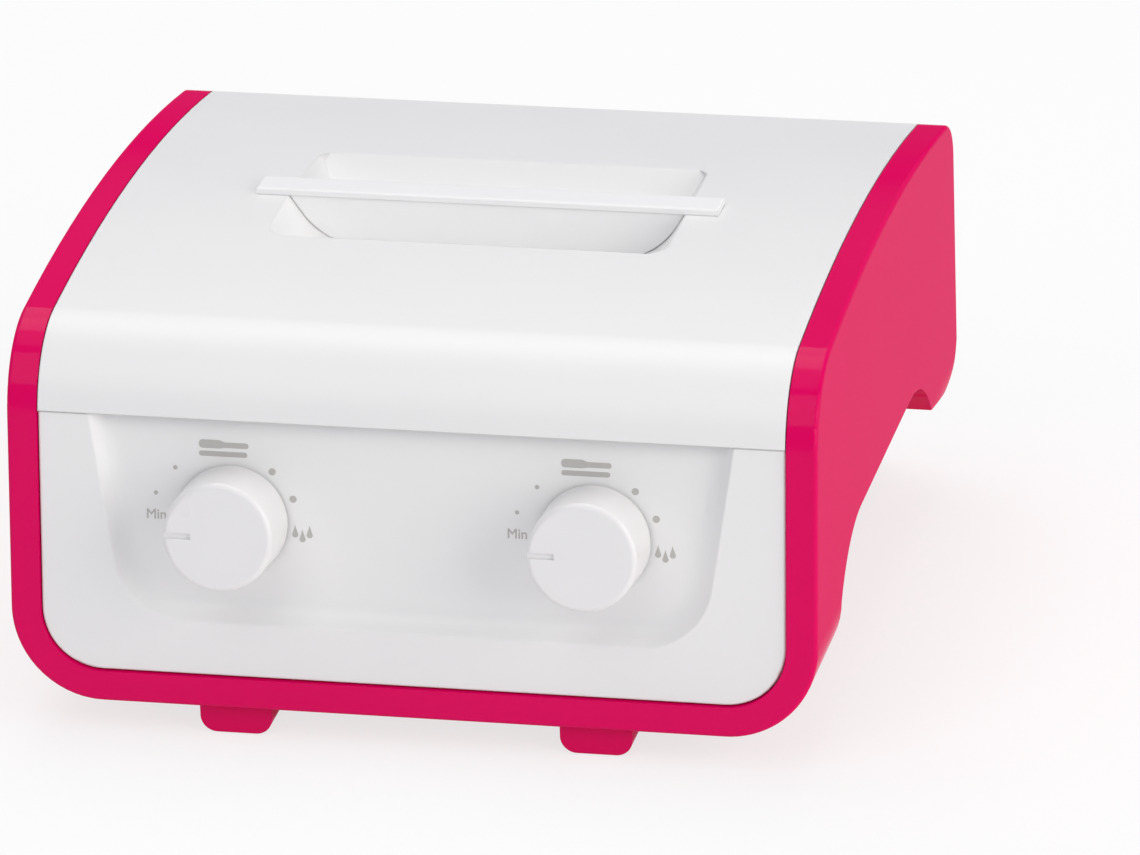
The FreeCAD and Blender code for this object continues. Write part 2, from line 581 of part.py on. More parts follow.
# Rear panel: upright white plate held behind the flanges, with two rows of vent slots and the
# hole for the gland.
REAR_TOP = "seam_height - panel_gap - foot_height"
REAR_CUT = "casing_wall + lip_gap + 2 * panel_wall - casing_depth"
rear_panel = put(new_body("rear_panel_body"), z="foot_height")
rear_face = sketch(rear_panel, "XZ_Plane", "rear_face", "casing_wall + lip_gap - casing_depth")
outline(rear_face, [(f"-{LIP_HALF}", REAR_TOP), (f"-{LIP_HALF}", LIP_LOW, LIP_CORNER),
                    (LIP_HALF, LIP_LOW, LIP_CORNER), (LIP_HALF, REAR_TOP)])
pad(rear_panel, rear_face, "panel_wall")
gland_hole = sketch(rear_panel, "XZ_Plane", "gland_hole", REAR_CUT)
ring = gland_hole.addGeometry(Part.Circle(
    FreeCAD.Vector(size(GLAND_AT), size("gland_height - foot_height"), 0),
    FreeCAD.Vector(0, 0, 1), size("gland_neck / 2 + gland_gap")))
locate(gland_hole, ring, 3, GLAND_AT, "gland_height - foot_height")
dimension(gland_hole, "Radius", ring, text="gland_neck / 2 + gland_gap")
pocket(rear_panel, gland_hole, "4 * panel_wall")
vents = []
for side, sign in SIDES:
    slot = sketch(rear_panel, "XZ_Plane", f"vent_{side}", REAR_CUT)
    near = f"({sign} * (casing_width / 2 - vent_side - vent_row / 2) - vent_row / 2)"
    low, high = "(vent_low - foot_height)", "(vent_low + vent_length - foot_height)"
    outline(slot, [(f"{near} - vent_width / 2", low), (f"{near} + vent_width / 2", low),
                   (f"{near} + vent_width / 2", high), (f"{near} - vent_width / 2", high)])
    first = pocket(rear_panel, slot, "4 * panel_wall")
    row = rear_panel.newObject("PartDesign::LinearPattern", f"vent_row_{side}")
    row.Originals = [first]
    row.Direction = (slot, ["H_Axis"])
    bind(row, Length="vent_row", Occurrences="floor(vent_row / vent_pitch) + 1")
    rear_panel.Tip = row
    doc.recompute()
notch = arch_form("panel_notch", "casing_wall + panel_gap")
keep("rear_panel", cut("rear_panel_notched", rear_panel, notch, mirror("panel_notch_left", notch)))

# Deck: plate under the lid that carries both wells, on four posts screwed from below.
deck = put(new_body("deck_body"), z=f"{DECK_TOP} - deck_thick")
plate = sketch(deck, "XY_Plane", "deck_plate")
DECK_HALF = "casing_width / 2 - casing_wall - deck_side_gap"
FRONT_AT_SEAM = "((seam_height - foot_height) * tan(front_lean))"
DECK_FRONT = (f"({FRONT_AT_SEAM} + (panel_set_back + panel_wall + dish_depth + deck_end_gap)"
              " / cos(front_lean))")
DECK_BACK = "(casing_depth - casing_wall - lip_gap - panel_wall - deck_end_gap)"
outline(plate, [(f"-({DECK_HALF})", DECK_FRONT), (DECK_HALF, DECK_FRONT), (DECK_HALF, DECK_BACK),
                (f"-({DECK_HALF})", DECK_BACK)])
for side, sign in SIDES:
    ring = plate.addGeometry(Part.Circle(
        FreeCAD.Vector(sign * size(f"{WELL_SPREAD} / 2"), size(WELL_BACK), 0),
        FreeCAD.Vector(0, 0, 1), size(f"{WELL_BORE} / 2 + well_wall + well_gap")))
    locate(plate, ring, 3, f"{sign} * {WELL_SPREAD} / 2", WELL_BACK)
    dimension(plate, "Radius", ring, text=f"{WELL_BORE} / 2 + well_wall + well_gap")
pad(deck, plate, "deck_thick")
keep("deck", cut("deck_drilled", fuse("deck_whole", deck, *posts), *pilots))

# Wells: drawn aluminium cups hanging by their flanges in the deck, and the pots that lift out of
# them by two lugs. The pots hang by their rims a little above the flanges.
POT_RADIUS = f"({WELL_BORE} / 2 - pot_gap)"
RIM_LOW = f"({DECK_TOP} + well_wall + pot_seat_gap)"
POT_LOW = "(well_low + well_wall + pot_floor_gap)"
BAND_BORE = f"({WELL_BORE} / 2 + well_wall + band_gap)"
BAND_OUT = f"({BAND_BORE} + band_thick)"
for side, sign in SIDES:
    across = f"{sign} * {WELL_SPREAD} / 2"
    outer = f"{WELL_BORE} / 2 + well_wall"
    well = revolve(f"{side}_well_body", [
        ("0", "well_low"), (outer, "well_low", "well_round"), (outer, DECK_TOP),
        (f"{WELL_FLANGE} / 2", DECK_TOP), (f"{WELL_FLANGE} / 2", f"{DECK_TOP} + well_wall"),
        (f"{WELL_BORE} / 2", f"{DECK_TOP} + well_wall"),
        (f"{WELL_BORE} / 2", "well_low + well_wall", "well_round - well_wall"),
        ("0", "well_low + well_wall")])
    keep(f"{side}_well", put(well, across, WELL_BACK))
    inner = f"{POT_RADIUS} - pot_wall"
    cup = put(revolve(f"{side}_pot_cup", [
        ("0", POT_LOW), (POT_RADIUS, POT_LOW, "well_round"), (POT_RADIUS, RIM_LOW),
        (f"{POT_RIM} / 2", RIM_LOW), (f"{POT_RIM} / 2", f"{RIM_LOW} + pot_rim_thick"),
        (inner, f"{RIM_LOW} + pot_rim_thick"),
        (inner, f"{POT_LOW} + pot_wall", "well_round - pot_wall"),
        ("0", f"{POT_LOW} + pot_wall")]), across, WELL_BACK)
    lug = box(f"{side}_pot_lugs", "lug_width", f"{POT_RIM} + 2 * lug_out", "pot_rim_thick", across,
              WELL_BACK, RIM_LOW)
    lug_ends = round_edges(f"{side}_pot_lug_ends", lug, "lug_width / 5",
                           lambda edge: edge.BoundBox.ZLength > 1)
    bore = cylinder(f"{side}_pot_mouth", f"2 * {inner}", "casing_depth", across, WELL_BACK, RIM_LOW)
    keep(f"{side}_pot", fuse(f"{side}_pot_whole", cup,
                             cut(f"{side}_pot_lug_pair", lug_ends, bore)))

# Band heaters: mica bands clamped round the wells by a screw through two ears, with the
# thermostat's bulb held upright in the gap between the ears.
for side, sign in SIDES:
    across = f"{sign} * {WELL_SPREAD} / 2"
    ring = cylinder(f"{side}_band_ring", f"2 * {BAND_OUT}", BAND_WIDTH, across, WELL_BACK,
                    "band_low")
    bore = cylinder(f"{side}_band_bore", f"2 * {BAND_BORE}", f"2 * {BAND_WIDTH}", across,
                    WELL_BACK, f"band_low - {BAND_WIDTH} / 2")
    slot = box(f"{side}_band_gap", "band_slot", f"2 * {BAND_OUT}", f"2 * {BAND_WIDTH}",
               across, f"{WELL_BACK} - {BAND_OUT}", f"band_low - {BAND_WIDTH} / 2")
    ears = [box(f"{side}_ear_{place}", "ear_thick", "ear_reach + band_thick", "ear_height",
                f"{across} + {way} * (band_slot + ear_thick) / 2",
                f"{WELL_BACK} - {BAND_BORE} - (ear_reach + band_thick) / 2 - band_thick / 4",
                f"band_low + ({BAND_WIDTH} - ear_height) / 2")
            for place, way in (("near", -1), ("far", 1))]
    EAR_HOLE = f"{WELL_BACK} - {BAND_OUT} - ear_reach * 0.6"
    level = f"band_low + {BAND_WIDTH} / 2"
    hole = solid("Cylinder", f"{side}_ear_hole", Radius="ear_screw / 2 + screw_gap",
                 Height="2 * band_slot")
    put(turn(hole, FreeCAD.Vector(0, 1, 0), "90"), f"{across} - band_slot", EAR_HOLE, level)
    split = cut(f"{side}_band_split", ring, bore, slot)
    keep(f"{side}_band_heater", cut(f"{side}_band", fuse(f"{side}_band_ears", split, *ears), hole))
    grip = "(band_slot + 2 * ear_thick)"
    shank = solid("Cylinder", f"{side}_clamp_shank", Radius="ear_screw / 2",
                  Height=f"{grip} + ear_screw_over")
    put(turn(shank, FreeCAD.Vector(0, 1, 0), "90"), f"{across} - {grip} / 2", EAR_HOLE, level)
    head = solid("Cylinder", f"{side}_clamp_head", Radius="ear_head / 2", Height="ear_head_height")
    put(turn(head, FreeCAD.Vector(0, 1, 0), "90"),
        f"{across} - {grip} / 2 - ear_head_height", EAR_HOLE, level)
    nut = solid("Prism", f"{side}_clamp_nut", Circumradius="ear_head / 2",
                Height="ear_head_height")
    put(turn(nut, FreeCAD.Vector(0, 1, 0), "90"), f"{across} + {grip} / 2", EAR_HOLE, level)
    keep(f"{side}_clamp_screw", fuse(f"{side}_clamp_whole", shank, head, nut))
    cutout = cylinder(f"{side}_cutout_can", "cutout_diameter", "cutout_height", across, WELL_BACK,
                      "well_low - cutout_height")
    keep(f"{side}_thermal_cutout", cutout)


def dial_put(item, sign, across="0", up="0", out="0"):
    """Place an object on a dial's own axes: x across, y up the panel, z out from the dish floor."""
    turn(item, FreeCAD.Vector(1, 0, 0), "90 - front_lean")
    sunk = "(panel_set_back + dish_depth)"
    rise, proud = f"(dial_rise + {up})", f"(({out}) - {sunk})"
    return put(item, f"{sign} * {DIAL_SPREAD} / 2 + ({across})",
               f"{rise} * sin(front_lean) - {proud} * cos(front_lean)",
               f"foot_height + {rise} * cos(front_lean) + {proud} * sin(front_lean)")


def dial_cylinder(name, sign, diameter, start, height):
    """Cylinder on a dial's axis from one distance out of the dish floor."""
    item = solid("Cylinder", name, Radius=f"({diameter}) / 2", Height=height)
    return dial_put(item, sign, out=start)


def shaft_form(name, sign, grow):
    """Round shaft with a flat on the side away from the pointer, all moved out by grow."""
    rod = dial_cylinder(f"{name}_rod", sign, f"shaft_diameter + 2 * ({grow})", "-shaft_in",
                        f"shaft_in + shaft_out + ({grow})")
    flat = solid("Box", f"{name}_flat", Length="shaft_diameter", Width="2 * shaft_diameter",
                 Height="2 * shaft_out")
    dial_put(flat, sign, f"shaft_diameter / 2 - shaft_flat + ({grow})", "-shaft_diameter",
             "bush_out + 0.3")
    return cut(name, rod, flat)


# Dials: the thermostat hangs behind the dish by its bush and nut, its flatted shaft runs through
# the bush, and the hollow knob sits on the shaft just clear of the dish.
nuts, bulbs = [], []
BACK = "panel_wall"
for side, sign in SIDES:
    case = solid("Box", f"{side}_thermostat_case", Length="thermostat_width",
                 Width="thermostat_height", Height="thermostat_depth")
    dial_put(case, sign, "-thermostat_width / 2", "-thermostat_height / 2",
             f"-{BACK} - thermostat_depth")
    bush = dial_cylinder(f"{side}_bush", sign, "bush_diameter", f"-{BACK} - panel_wall",
                         f"{BACK} + panel_wall + bush_out")
    blades = []
    for place, way in (("near", -1), ("far", 1)):
        blade = solid("Box", f"{side}_blade_{place}", Length="blade_thick", Width="blade_width",
                      Height="blade_length + panel_wall")
        blades.append(dial_put(blade, sign, f"{way} * blade_spread / 2 - blade_thick / 2",
                               "-blade_width / 2",
                               f"-{BACK} - thermostat_depth - blade_length"))
    bore = dial_cylinder(f"{side}_bush_bore", sign, "shaft_diameter + 2 * shaft_fit",
                         "-shaft_in - 0.5", "4 * shaft_out")
    keep(f"{side}_thermostat", cut(f"{side}_thermostat_whole",
                                   fuse(f"{side}_thermostat_solid", case, bush, *blades), bore))
    keep(f"{side}_shaft", shaft_form(f"{side}_shaft_form", sign, "0"))
    hexagon = solid("Prism", f"{side}_nut_block", Circumradius="nut_across / sqrt(3)",
                    Height="nut_thick")
    dial_put(hexagon, sign)
    nut_bore = dial_cylinder(f"{side}_nut_bore", sign, "bush_diameter + 0.1", "-1", "4 * nut_thick")
    nuts.append(cut(f"{side}_nut", hexagon, nut_bore))
    top = "(knob_gap + knob_height)"
    knob = revolve(f"{side}_knob_body", [
        ("0", top), ("0", "bush_out + hub_clear"), ("hub_diameter / 2", "bush_out + hub_clear"),
        ("hub_diameter / 2", f"{top} - knob_wall"),
        ("knob_face / 2 - knob_wall", f"{top} - knob_wall"),
        ("knob_base / 2 - knob_wall", "knob_gap"), ("knob_base / 2", "knob_gap"),
        ("knob_face / 2", top, "knob_edge")])
    groove = sketch(knob, "XY_Plane", f"{side}_pointer", top)
    tip, tail = "-knob_face / 2 - knob_edge", "-knob_face / 2 + pointer_length"
    outline(groove, [(tip, "-pointer_width / 2"), (tail, "-pointer_width / 2"),
                     (tail, "pointer_width / 2"), (tip, "pointer_width / 2")])
    pocket(knob, groove, "pointer_depth")
    dial_put(knob, sign)
    keep(f"{side}_knob", cut(f"{side}_knob_bored", knob,
                             shaft_form(f"{side}_knob_socket", sign, "shaft_fit")))
keep("bush_nuts", group("nut_set", *nuts))

# Capillary sensors: the bulb stands in the band's gap and its thin tube runs under and forward
# to the back of the thermostat, bent in one upright plane.
for side, sign in SIDES:
    across = f"{sign} * {WELL_SPREAD} / 2"
    bulb_back = f"({WELL_BACK} - {WELL_BORE} / 2 - well_wall - bulb_gap - bulb_diameter / 2)"
    bulb_low = f"(band_low + ({BAND_WIDTH} - bulb_length) / 2)"
    bulb = cylinder(f"{side}_bulb", "bulb_diameter", "bulb_length", across, bulb_back, bulb_low)
    line = put(new_body(f"{side}_capillary"), across)
    path = sketch(line, "YZ_Plane", f"{side}_capillary_path")
    level = "(foot_height + dial_rise * cos(front_lean))"
    behind = f"(panel_set_back + dish_depth + {BACK} + thermostat_depth + bulb_gap)"
    meet = f"({behind} / cos(front_lean) + dial_rise * sin(front_lean))"
    climb = f"({meet} + capillary_bend + capillary_slack)"
    stops = [(bulb_back, f"{bulb_low} + 1"), (bulb_back, "capillary_low"),
             (climb, "capillary_low"), (climb, level), (meet, level)]
    points = [FreeCAD.Vector(size(y), size(z), 0) for y, z in stops]
    bend = size("capillary_bend")
    legs, bends = [], []
    for i in range(4):
        way = (points[i + 1] - points[i]).normalize()
        first = points[i] + way * (bend if i else 0)
        last = points[i + 1] - way * (bend if i < 3 else 0)
        legs.append(path.addGeometry(Part.LineSegment(first, last)))
    for i in (1, 2, 3):
        back = (points[i - 1] - points[i]).normalize()
        ahead = (points[i + 1] - points[i]).normalize()
        left_turn = back.cross(ahead).z < 0
        pair = (points[i] + back * bend, points[i] + ahead * bend)
        if not left_turn:
            pair = pair[::-1]
        curve = path.addGeometry(arc(points[i] + (back + ahead) * bend, bend, *pair))
        first, last = (1, 2) if left_turn else (2, 1)
        path.addConstraint(Sketcher.Constraint("Tangent", legs[i - 1], 2, curve, first))
        path.addConstraint(Sketcher.Constraint("Tangent", curve, last, legs[i], 1))
        dimension(path, "Radius", curve, text="capillary_bend")
    for number, kind in enumerate(("Vertical", "Horizontal", "Vertical", "Horizontal")):
        path.addConstraint(Sketcher.Constraint(kind, legs[number]))
    locate(path, legs[0], 1, *stops[0])
    dimension(path, "DistanceY", -1, 1, legs[1], 1, text="capillary_low")
    dimension(path, "DistanceX", -1, 1, legs[2], 1, text=climb)
    locate(path, legs[3], 2, *stops[4])
    section = sketch(line, "XY_Plane", f"{side}_capillary_section", f"{bulb_low} + 1")
    circle = section.addGeometry(Part.Circle(FreeCAD.Vector(0, size(bulb_back), 0),
                                             FreeCAD.Vector(0, 0, 1),
                                             size("capillary_diameter / 2")))
    locate(section, circle, 3, "0", bulb_back)
    dimension(section, "Radius", circle, text="capillary_diameter / 2")
    doc.recompute()
    pipe = line.newObject("PartDesign::AdditivePipe", f"{side}_capillary_pipe")
    pipe.Profile = section
    pipe.Spine = path
    doc.recompute()
    keep(f"{side}_sensor", fuse(f"{side}_sensor_whole", bulb, line))



def lead(name, *stops):
    """Round lead through points, bent where it passes one.

    Its path bends in space, which a flat sketch can't hold, so it is swept along a wire.
    """
    points = [FreeCAD.Vector(size(x), size(f"({y}) - {ORIGIN}"), size(z)) for x, y, z in stops]
    edges, start = [], points[0]
    for before, corner, after in zip(points, points[1:], points[2:]):
        back, ahead = (before - corner).normalize(), (after - corner).normalize()
        half = back.getAngle(ahead) / 2
        room = 0.45 * min((before - corner).Length, (after - corner).Length)
        reach = min(size("lead_bend") / math.tan(half), room)
        first, last = corner + back * reach, corner + ahead * reach
        inside = reach / math.cos(half) - reach * math.tan(half)
        middle = corner + (back + ahead).normalize() * inside
        edges += [Part.makeLine(start, first), Part.Arc(first, middle, last).toShape()]
        start = last
    edges.append(Part.makeLine(start, points[-1]))
    section = Part.Wire(Part.makeCircle(size("lead_diameter / 2"), points[0], points[1] - points[0]))
    item = doc.addObject("Part::Feature", name)
    item.Shape = Part.Wire(edges).makePipeShell([section], True, False)
    return item


# Internal leads: on each side, from the terminal block to the cut-out under the well, from there
# to the thermostat, from the thermostat to the band heater, and from the band back to the block.
for side, sign in SIDES:
    well_x, dial_x = f"{sign} * {WELL_SPREAD} / 2", f"{sign} * {DIAL_SPREAD} / 2"
    block_x, block_z = f"{sign} * block_length", "(foot_height + casing_wall + block_height / 2)"
    can_z, band_z = "(well_low - cutout_height / 2)", f"(band_low + {BAND_WIDTH} / 2)"
    can_end, can_run = "(cutout_diameter / 2 + bulb_gap)", "(cutout_diameter / 2 + lead_run)"
    blade_in = f"(panel_set_back + dish_depth + {BACK} + thermostat_depth + blade_length + bulb_gap)"
    blade_y = f"(dial_rise * sin(front_lean) + {blade_in} * cos(front_lean))"
    blade_z = f"(foot_height + dial_rise * cos(front_lean) - {blade_in} * sin(front_lean))"
    near, far = f"{dial_x} - {sign} * blade_spread / 2", f"{dial_x} + {sign} * blade_spread / 2"
    band_end, band_run = f"({BAND_OUT} + bulb_gap) * cos(45)", f"({BAND_OUT} + lead_run) * cos(45)"
    inner_x = f"{well_x} - {sign} * {can_run}"
    outer_x = f"{well_x} + {sign} * {band_run}"
    front_run = f"{BLOCK_BACK} - block_width / 2 - lead_run"
    supply = lead(f"{side}_supply_lead",
                  (f"{block_x} / 4", f"{BLOCK_BACK} - block_width / 2 - bulb_gap", block_z),
                  (f"{block_x} / 4", front_run, block_z),
                  (well_x, f"{WELL_BACK} + {can_run} + lead_run", block_z),
                  (well_x, f"{WELL_BACK} + {can_run}", can_z),
                  (well_x, f"{WELL_BACK} + {can_end}", can_z))
    control = lead(f"{side}_control_lead",
                   (f"{well_x} - {sign} * {can_end}", WELL_BACK, can_z), (inner_x, WELL_BACK, can_z),
                   (inner_x, f"{blade_y} + 3 * lead_run", block_z),
                   (near, f"{blade_y} + lead_run", f"{block_z} + lead_run"),
                   (near, f"{blade_y} + lead_run", blade_z), (near, blade_y, blade_z))
    heating = lead(f"{side}_heating_lead", (far, blade_y, blade_z),
                   (far, f"{blade_y} + lead_run", blade_z),
                   (outer_x, f"{WELL_BACK} - {band_run}", band_z),
                   (f"{well_x} + {sign} * {band_end}", f"{WELL_BACK} - {band_end}", band_z))
    return_run = lead(f"{side}_return_lead",
                      (f"{well_x} + {sign} * {band_end}", f"{WELL_BACK} + {band_end}", band_z),
                      (outer_x, f"{WELL_BACK} + {band_run}", band_z),
                      (outer_x, f"{BLOCK_BACK} - 2 * lead_run", f"({band_z} + {block_z}) / 2"),
                      (f"{block_x} / 2 + {sign} * 2 * lead_run", BLOCK_BACK, block_z),
                      (f"{block_x} / 2 + {sign} * bulb_gap", BLOCK_BACK, block_z))
    keep(f"{side}_leads", group(f"{side}_lead_set", supply, control, heating, return_run))

# Supply entry: terminal block on the floor and the gland in the rear panel.
keep("terminal_block", box("block", "block_length", "block_width", "block_height", "0", BLOCK_BACK,
                           "foot_height + casing_wall"))
gland_face = "casing_depth - casing_wall - lip_gap"
gland = revolve("gland_body", [
    ("gland_bore / 2", "gland_flange_thick"), ("gland_bore / 2", "-panel_wall - gland_tail"),
    ("gland_neck / 2", "-panel_wall - gland_tail"), ("gland_neck / 2", "0"),
    ("gland_flange / 2", "0"), ("gland_flange / 2", "gland_flange_thick")])
turn(gland, FreeCAD.Vector(1, 0, 0), "-90")
keep("cord_gland", put(gland, GLAND_AT, gland_face, "gland_height"))

# Lid: white lift-off cover between the pink flanges, resting on the deck, with a trough-shaped
# finger scoop let into its crown.
lid_block = common("lid_block", side_block, front_form("lid_front", "rim_width + lid_gap"),
                   box("lid_above", "2 * casing_width", "4 * casing_depth", "casing_depth",
                       z="seam_height"))
lid_space = common("lid_space", side_form("lid_side_inner", "lid_wall"),
                   front_form("lid_front_inner", "rim_width + lid_gap + lid_wall"))
SCOOP_RADIUS = "((scoop_width ^ 2 / 4 + scoop_depth ^ 2) / (2 * scoop_depth))"


def scoop_form(name, grow):
    """The scoop's space, moved out by grow: a trough along X with ends that curve up to the rim."""
    trough = solid("Cylinder", f"{name}_trough", Radius=f"{SCOOP_RADIUS} + ({grow})",
                   Height="2 * casing_width")
    put(turn(trough, FreeCAD.Vector(0, 1, 0), "90"), "-casing_width", SCOOP_BACK,
        f"{CROWN} + {SCOOP_RADIUS} - scoop_depth")
    ends = put(new_body(f"{name}_ends"), z=CROWN)
    drawing = sketch(ends, "XZ_Plane", f"{name}_ends_outline")
    reach = f"scoop_length / 2 + ({grow}) / cos(scoop_end_slope)"
    low = f"scoop_depth + scoop_ease + ({grow})"
    wide = f"{reach} + scoop_depth * tan(scoop_end_slope)"
    slim = f"{reach} - ({low}) * tan(scoop_end_slope)"
    bend = f"scoop_end_round + ({grow})"
    outline(drawing, [(f"-({wide})", "scoop_depth"), (f"-({slim})", f"-({low})", bend),
                      (slim, f"-({low})", bend), (wide, "scoop_depth")])
    pad(ends, drawing, "4 * casing_depth", symmetric=True)
    plan = put(new_body(f"{name}_plan"), "0", SCOOP_BACK, CROWN)
    drawing = sketch(plan, "XY_Plane", f"{name}_plan_outline")
    along = f"scoop_length / 2 + scoop_ease + ({grow})"
    deep = f"scoop_width / 2 + scoop_ease + ({grow})"
    corner = f"scoop_corner + ({grow})"
    outline(drawing, [(f"-({along})", f"-({deep})", corner), (along, f"-({deep})", corner),
                      (along, deep, corner), (f"-({along})", deep, corner)])
    pad(plan, drawing, "4 * scoop_depth", symmetric=True)
    return common(name, trough, ends, plan)


void = cut("lid_void", lid_space, scoop_form("scoop_outer", "scoop_wall"))
scooped = cut("lid_scooped", lid_block, scoop_form("scoop", "0"))
PIN_SPREAD = "(scoop_length + 2 * pin_beyond)"
pin_holes = [cylinder(f"pin_hole_{side}", "pin_diameter + 2 * pin_gap", "4 * scoop_depth",
                      f"{sign} * {PIN_SPREAD} / 2", SCOOP_BACK, f"{CROWN} - 2 * scoop_depth")
             for side, sign in SIDES]
keep("lid", cut("lid_whole", scooped, void, *pin_holes))

# Grip bar: a flat bar across the scoop with a web below it that fills the scoop's section, and two
# pins through the lid, held underneath by push nuts.
UNDER_LID = f"({CROWN} - lid_wall)"
strip = box("bar_strip", f"{PIN_SPREAD} + 2 * bar_beyond", "bar_width", "bar_thick", "0",
            SCOOP_BACK, CROWN)
strip_edge = round_edges("bar_rounded", strip, "bar_edge",
                         lambda edge: edge.BoundBox.ZMin > size(f"{CROWN} + bar_thick") - 1e-3)
WEB_BACK = f"({SCOOP_BACK} - bar_width / 2 + web_set + web_thick / 2)"
sheet_of_web = box("web_sheet", "scoop_length", "web_thick", "scoop_depth + bar_thick / 2", "0",
                   WEB_BACK, f"{CROWN} - scoop_depth")
web = common("bar_web", sheet_of_web, scoop_form("web_space", "-web_gap"))
pins, clips = [], []
for side, sign in SIDES:
    across = f"{sign} * {PIN_SPREAD} / 2"
    pins.append(cylinder(f"pin_{side}", "pin_diameter", "lid_wall + pin_over + bar_thick / 2",
                         across, SCOOP_BACK, f"{UNDER_LID} - pin_over"))
    disc = cylinder(f"push_nut_disc_{side}", "push_nut", "push_nut_thick", across, SCOOP_BACK,
                    f"{UNDER_LID} - push_nut_thick - push_nut_gap")
    hole = cylinder(f"push_nut_hole_{side}", "pin_diameter + pin_gap", "4 * push_nut_thick", across,
                    SCOOP_BACK, f"{UNDER_LID} - 3 * push_nut_thick")
    clips.append(cut(f"push_nut_{side}", disc, hole))
keep("lid_grip_bar", fuse("bar_whole", strip_edge, web, *pins))
keep("bar_push_nuts", group("push_nut_set", *clips))

# Checks, then one STEP file for each sub-part.
doc.recompute()
for item in doc.Objects:
    if "Invalid" in item.State or "Error" in item.State:
        raise RuntimeError(f"{item.Label} did not build: {item.State}")
os.makedirs("parts", exist_ok=True)
for name, item in nodes.items():
    if item.Shape.isNull() or not item.Shape.isValid() or not item.Shape.Solids:
        raise RuntimeError(f"{name} has no valid shape")
    item.Shape.exportStep(f"parts/{name}.step")
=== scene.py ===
import json
import math

import bmesh
import bpy
from mathutils import Matrix, Vector


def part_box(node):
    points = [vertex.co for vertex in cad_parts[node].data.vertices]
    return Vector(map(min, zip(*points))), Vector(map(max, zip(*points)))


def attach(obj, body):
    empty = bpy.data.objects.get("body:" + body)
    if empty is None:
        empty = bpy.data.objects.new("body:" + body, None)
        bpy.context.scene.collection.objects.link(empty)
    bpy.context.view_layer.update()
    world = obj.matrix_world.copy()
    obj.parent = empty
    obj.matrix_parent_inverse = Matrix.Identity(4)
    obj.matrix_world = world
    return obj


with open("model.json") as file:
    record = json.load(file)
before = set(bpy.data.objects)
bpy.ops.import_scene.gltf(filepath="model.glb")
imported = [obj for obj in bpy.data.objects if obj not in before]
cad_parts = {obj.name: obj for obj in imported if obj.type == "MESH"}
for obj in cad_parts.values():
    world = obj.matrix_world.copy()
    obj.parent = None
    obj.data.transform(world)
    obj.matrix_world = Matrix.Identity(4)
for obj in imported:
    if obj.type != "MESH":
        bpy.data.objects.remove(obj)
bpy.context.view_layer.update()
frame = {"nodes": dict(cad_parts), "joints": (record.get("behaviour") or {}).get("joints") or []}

# Outer casing. A single injection moulding in ABS: two sides and a floor in one U, with a return
# flange round its edges, hand-hold arches and block feet. The other pieces fit inside it.
mm = 0.001
casing_ripple = 9 * mm
casing_flow = 60 * mm
casing_edge = 0.5 * mm


def linear(code):
    """An sRGB hex colour as the linear colour that a shader takes."""
    parts = [int(code[i:i + 2], 16) / 255 for i in (1, 3, 5)]
    return [v / 12.92 if v <= 0.04045 else ((v + 0.055) / 1.055) ** 2.4 for v in parts] + [1.0]


def add(tree, kind, inputs=(), **settings):
    """Add one shader node with its settings, its values and its links."""
    node = tree.nodes.new(kind)
    for name, value in settings.items():
        setattr(node, name, value)
    for name, value in dict(inputs).items():
        if isinstance(value, bpy.types.NodeSocket):
            tree.links.new(value, node.inputs[name])
        else:
            node.inputs[name].default_value = value
    return node


def new_material(name):
    """A material without nodes, and the tree that they are added to."""
    material = bpy.data.materials.new(name)
    material.use_nodes = True
    material.node_tree.nodes.clear()
    return material, material.node_tree


def dress(material, *names):
    """Give CAD nodes a material in place of the one that they came with."""
    for name in names:
        mesh = frame["nodes"][name].data
        mesh.materials.clear()
        mesh.materials.append(material)


# Polished ABS: the tool's mirror finish leaves a long, shallow ripple that softens reflections, and
# the pigment is dense, so the colour hardly varies. Seen at a low angle the skin is duller than
# glass would be. Moulded edges are rounded by half a millimetre.
pink_abs, tree = new_material("polished_pink_abs")
place = add(tree, "ShaderNodeTexCoord").outputs["Object"]
ripple = add(tree, "ShaderNodeTexNoise", {"Vector": place, "Scale": 1 / casing_ripple, "Detail": 1.0})
flow = add(tree, "ShaderNodeTexNoise", {"Vector": place, "Scale": 1 / casing_flow, "Detail": 3.0})
tint = add(tree, "ShaderNodeMix", {"Factor": flow.outputs["Fac"], "A": linear("#dc005a"),
                                   "B": linear("#e0015e")}, data_type="RGBA")
gloss = add(tree, "ShaderNodeMapRange", {"Value": flow.outputs["Fac"], "To Min": 0.07,
                                         "To Max": 0.11})
edge = add(tree, "ShaderNodeBevel", {"Radius": casing_edge}, samples=4)
bump = add(tree, "ShaderNodeBump", {"Height": ripple.outputs["Fac"], "Strength": 0.06,
                                    "Distance": 0.4 * mm, "Normal": edge.outputs["Normal"]})
slant = add(tree, "ShaderNodeLayerWeight", {"Blend": 0.5})
sheen = add(tree, "ShaderNodeMapRange", {"Value": slant.outputs["Facing"], "From Min": 0.3,
                                         "From Max": 0.7, "To Min": 0.1,
                                         "To Max": 0.002})
shader = add(tree, "ShaderNodeBsdfPrincipled", {
    "Base Color": tint.outputs["Result"], "Roughness": gloss.outputs["Result"],
    "Normal": bump.outputs["Normal"], "IOR": 1.5, "Specular IOR Level": sheen.outputs["Result"]})
add(tree, "ShaderNodeOutputMaterial", {"Surface": shader.outputs["BSDF"]})
dress(pink_abs, "outer_casing")

# Front and rear panels. White ABS mouldings held behind the casing's flanges. The front one leans
# back and has a shallow dish round the dials, and the rear one has two rows of vents.
panel_flow = 50 * mm
panel_edge = 0.8 * mm
# the grain is really about 0.1 mm, drawn at 0.8 mm so that it shows
panel_grain = 0.8 * mm
